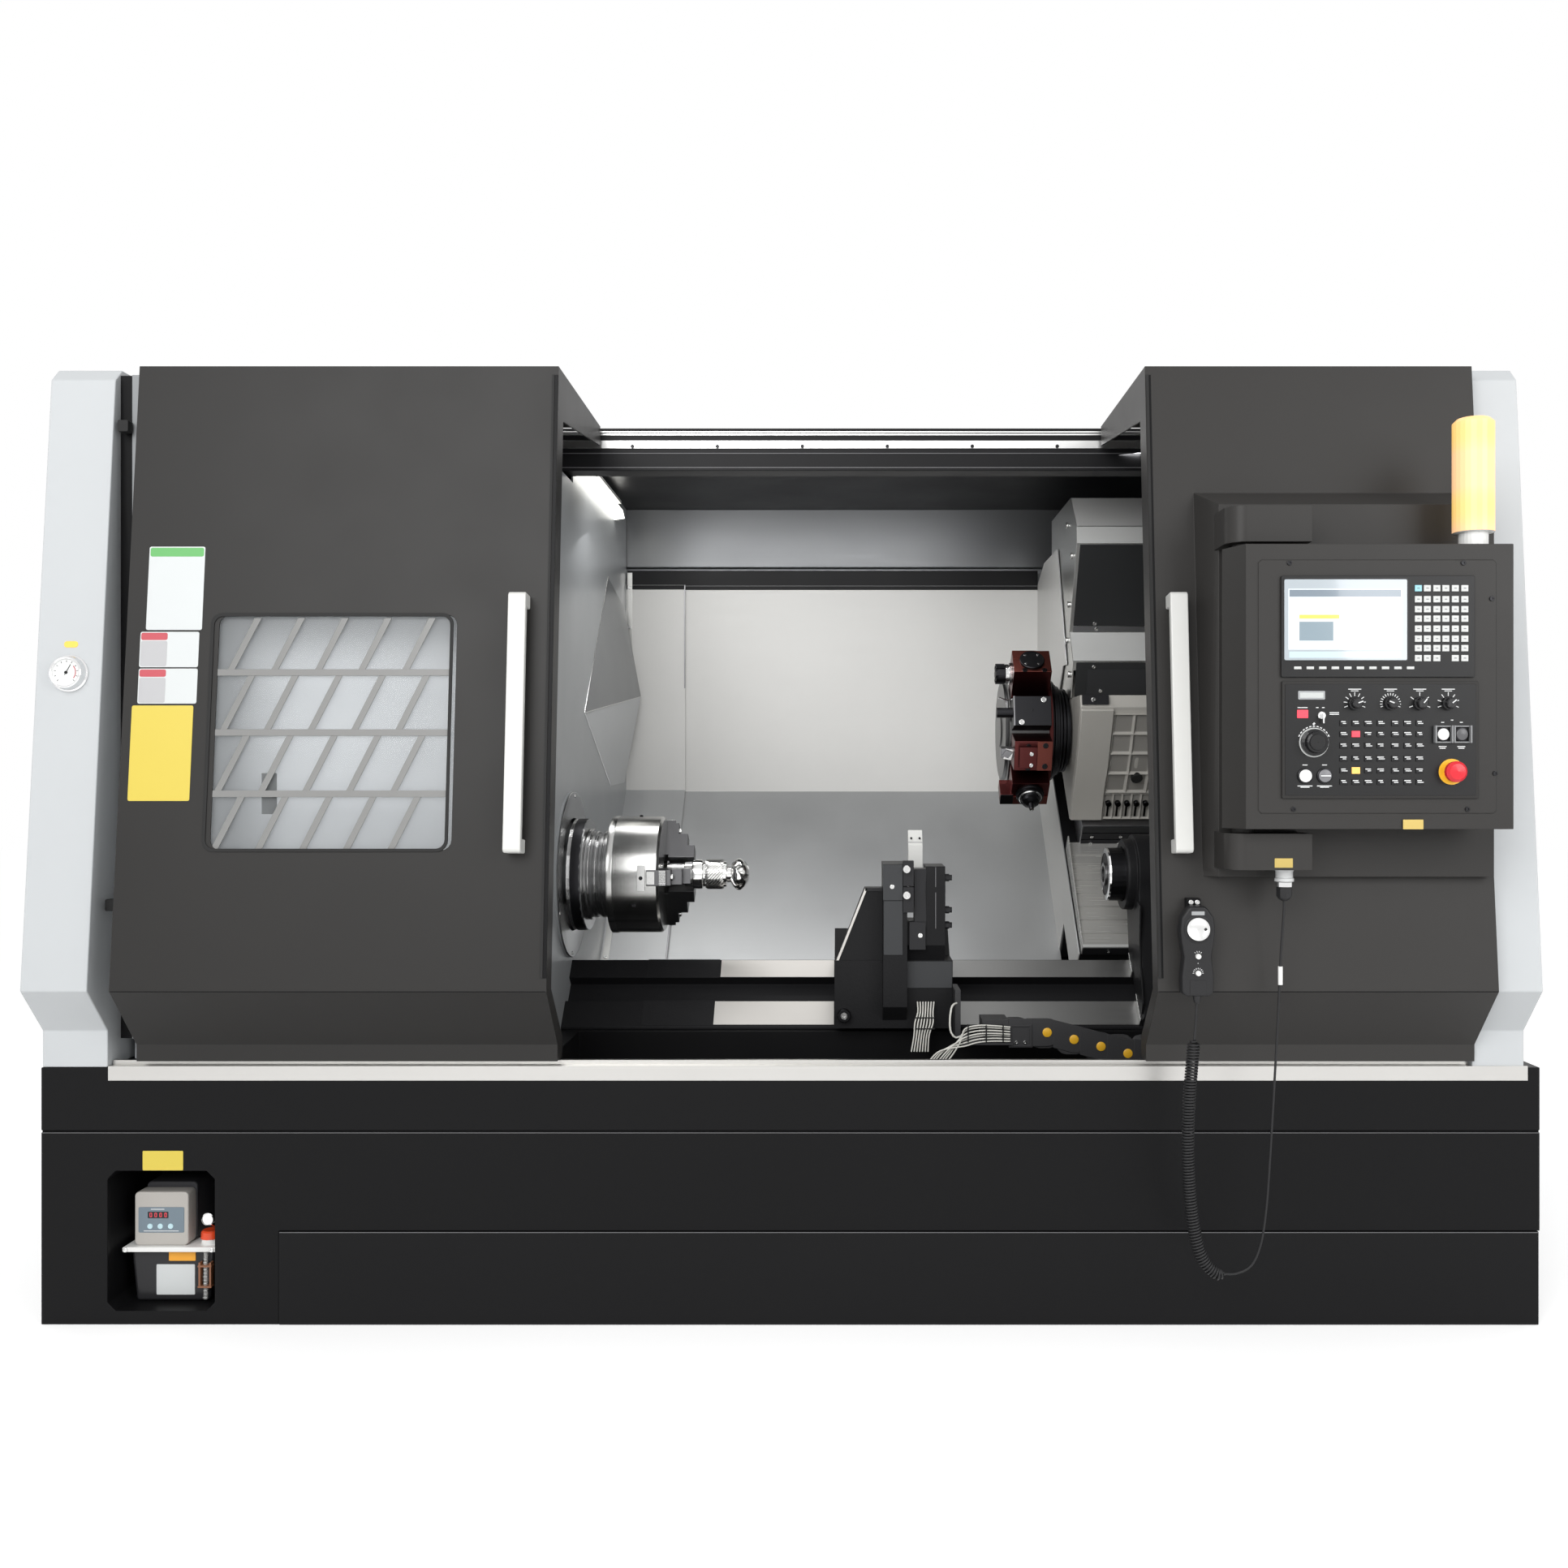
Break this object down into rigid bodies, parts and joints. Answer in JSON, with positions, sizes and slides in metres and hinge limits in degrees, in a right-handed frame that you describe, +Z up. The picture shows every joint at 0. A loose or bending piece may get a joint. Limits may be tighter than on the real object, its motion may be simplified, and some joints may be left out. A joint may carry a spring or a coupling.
{
  "type": "turning lathe",
  "caption": "Slant-bed CNC turning lathe with sliding doors, chuck, tool turret, tailstock, steady rest and a swing-out control pendant, half open to its work zone.",
  "frame": {"origin": "centre of the base cabinet's underside, on the floor", "axes": "+X along the spindle from the headstock to the tailstock, -Y towards the operator, +Z up"},
  "size_m": [3.3, 2.1619, 2.119],
  "materials": {
    "black_paint": "satin black paint",
    "charcoal_paint": "textured charcoal paint",
    "light_paint": "textured light grey paint",
    "interior_paint": "satin grey paint",
    "beige_paint": "hammered beige casting paint",
    "maroon_finish": "dark red oiled finish",
    "ground_steel": "ground",
    "bright_steel": "polished",
    "guard_steel": "brushed sheet",
    "pump_paint": "semi-gloss grey",
    "white_plastic": "semi-gloss off-white",
    "black_plastic": "fine texture",
    "amber_lens": "translucent amber",
    "red_plastic": "gloss red",
    "black_rubber": "matt",
    "clear_pane": "clear"
  },
  "bodies": {
    "base": {"base_cabinet": "black_paint", "coolant_tank": "black_paint", "door_sill": "bright_steel", "bed_casting": "black_paint", "headstock": "light_paint", "headstock_cover": "light_paint", "left_end_cover": "light_paint", "right_end_cover": "light_paint", "headstock_wall": "interior_paint", "rear_enclosure": "interior_paint", "work_lamp": "white_plastic", "lube_unit": "pump_paint", "pressure_gauge": "bright_steel", "main_motor": "charcoal_paint", "drive_belt": "black_rubber", "electrical_cabinet": "light_paint"},
    "spindle": {"spindle": "ground_steel", "chuck_body": "ground_steel", "workpiece": "bright_steel"},
    "jaw_a": {"jaw_1": "ground_steel"},
    "jaw_b": {"jaw_2": "ground_steel"},
    "jaw_c": {"jaw_3": "ground_steel"},
    "motor_rotor": {"motor_pulley": "ground_steel"},
    "screw": {"z_ballscrew": "bright_steel"},
    "saddle": {"saddle": "black_paint", "sliding_guard": "guard_steel", "telescopic_cover": "ground_steel"},
    "cross_slide": {"cross_slide": "ground_steel", "turret_housing": "beige_paint", "slide_cover": "ground_steel"},
    "turret": {"turret_disc": "ground_steel", "collet_holder": "maroon_finish", "boring_block": "charcoal_paint", "turning_block": "maroon_finish", "drill_block": "maroon_finish"},
    "tailstock": {"tailstock_body": "black_paint"},
    "quill": {"quill": "ground_steel"},
    "steady": {"steady_rest": "black_paint", "drag_chain": "black_plastic"},
    "steady_arm": {"steady_arm": "white_plastic"},
    "left_door": {"left_door": "charcoal_paint", "window_grille": "ground_steel", "window_pane": "clear_pane", "left_door_handle": "white_plastic"},
    "right_door": {"right_door": "charcoal_paint", "right_door_handle": "white_plastic", "hand_pendant": "black_plastic", "coil_cord": "black_rubber", "hand_cable": "black_rubber"},
    "pendant": {"pendant_housing": "charcoal_paint", "display_unit": "black_plastic", "key_panel": "black_plastic", "signal_tower": "amber_lens"},
    "e_stop": {"e_stop_button": "red_plastic"},
    "feed_dial": {"feed_dial": "black_plastic"},
    "knob_1": {"mode_knob_1": "black_plastic"},
    "knob_2": {"mode_knob_2": "black_plastic"},
    "knob_3": {"mode_knob_3": "black_plastic"},
    "knob_4": {"mode_knob_4": "black_plastic"},
    "hand_dial": {"hand_dial": "bright_steel"}
  },
  "joints": [
    {"name": "left_door_slide", "type": "slide", "parent": "base", "child": "left_door", "axis": [1, 0, 0], "range_m": [0, 0.896]},
    {"name": "right_door_slide", "type": "slide", "parent": "base", "child": "right_door", "axis": [-1, 0, 0], "range_m": [0, 0.39]},
    {"name": "pendant_swing", "type": "hinge", "parent": "right_door", "child": "pendant", "pos_m": [0.94, -1.07, 1.1], "axis": [0, 0, -1], "range_deg": [0, 90]},
    {"name": "spindle_spin", "type": "hinge", "parent": "base", "child": "spindle", "pos_m": [0, -0.275, 0.951], "axis": [1, 0, 0], "continuous": true},
    {"name": "jaw_a_slide", "type": "slide", "parent": "spindle", "child": "jaw_a", "axis": [0, -1, 0], "range_m": [0, 0.006]},
    {"name": "jaw_b_slide", "type": "slide", "parent": "spindle", "child": "jaw_b", "axis": [0, 0.5, -0.866], "range_m": [0, 0.006]},
    {"name": "jaw_c_slide", "type": "slide", "parent": "spindle", "child": "jaw_c", "axis": [0, 0.5, 0.866], "range_m": [0, 0.006]},
    {"name": "motor_spin", "type": "hinge", "parent": "base", "child": "motor_rotor", "pos_m": [0, 0.03719, 1.27988], "axis": [1, 0, 0], "continuous": true},
    {"name": "saddle_slide", "type": "slide", "parent": "base", "child": "saddle", "axis": [1, 0, 0], "range_m": [-0.65, 0]},
    {"name": "screw_spin", "type": "hinge", "parent": "base", "child": "screw", "pos_m": [0, 0.41584, 0.83857], "axis": [1, 0, 0], "continuous": true},
    {"name": "cross_slide_feed", "type": "slide", "parent": "saddle", "child": "cross_slide", "axis": [0, -0.7071, -0.7071], "range_m": [0, 0.25], "deforming": ["telescopic_cover"]},
    {"name": "turret_index", "type": "hinge", "parent": "cross_slide", "child": "turret", "pos_m": [0, 0.11532, 1.34132], "axis": [1, 0, 0], "continuous": true},
    {"name": "tailstock_slide", "type": "slide", "parent": "base", "child": "tailstock", "axis": [1, 0, 0], "range_m": [-0.3, 0]},
    {"name": "quill_slide", "type": "slide", "parent": "tailstock", "child": "quill", "axis": [-1, 0, 0], "range_m": [0, 0.1]},
    {"name": "steady_slide", "type": "slide", "parent": "base", "child": "steady", "axis": [1, 0, 0], "range_m": [-0.1, 0]},
    {"name": "steady_arm_swing", "type": "hinge", "parent": "steady", "child": "steady_arm", "pos_m": [0.2975, -0.415, 0.9], "axis": [-1, 0, 0], "range_deg": [0, 30]},
    {"name": "e_stop_push", "type": "slide", "parent": "pendant", "child": "e_stop", "axis": [0, 1, 0], "range_m": [0, 0.005], "stiffness_N_per_m": 600},
    {"name": "feed_dial_turn", "type": "hinge", "parent": "pendant", "child": "feed_dial", "pos_m": [1.0593, -1.155, 1.2741], "axis": [0, 1, 0], "range_deg": [-135, 135]},
    {"name": "hand_dial_spin", "type": "hinge", "parent": "right_door", "child": "hand_dial", "pos_m": [0.8545, -1.03228, 0.88681], "axis": [0, -0.9954, 0.0953], "continuous": true},
    {"name": "knob_1_turn", "type": "hinge", "parent": "pendant", "child": "knob_1", "pos_m": [1.141, -1.155, 1.3524], "axis": [0, 1, 0], "range_deg": [-60, 60]},
    {"name": "knob_2_turn", "type": "hinge", "parent": "pendant", "child": "knob_2", "pos_m": [1.2126, -1.155, 1.3524], "axis": [0, 1, 0], "range_deg": [-60, 60]},
    {"name": "knob_3_turn", "type": "hinge", "parent": "pendant", "child": "knob_3", "pos_m": [1.2713, -1.155, 1.3524], "axis": [0, 1, 0], "range_deg": [-60, 60]},
    {"name": "knob_4_turn", "type": "hinge", "parent": "pendant", "child": "knob_4", "pos_m": [1.3284, -1.155, 1.3524], "axis": [0, 1, 0], "range_deg": [-60, 60]}
  ],
  "couplings": [
    {"joint": "jaw_b_slide", "follows": "jaw_a_slide", "ratio": 1},
    {"joint": "jaw_c_slide", "follows": "jaw_a_slide", "ratio": 1},
    {"joint": "motor_spin", "follows": "spindle_spin", "ratio": 1.4667},
    {"joint": "screw_spin", "follows": "saddle_slide", "rad_per_m": 523.6}
  ]
}
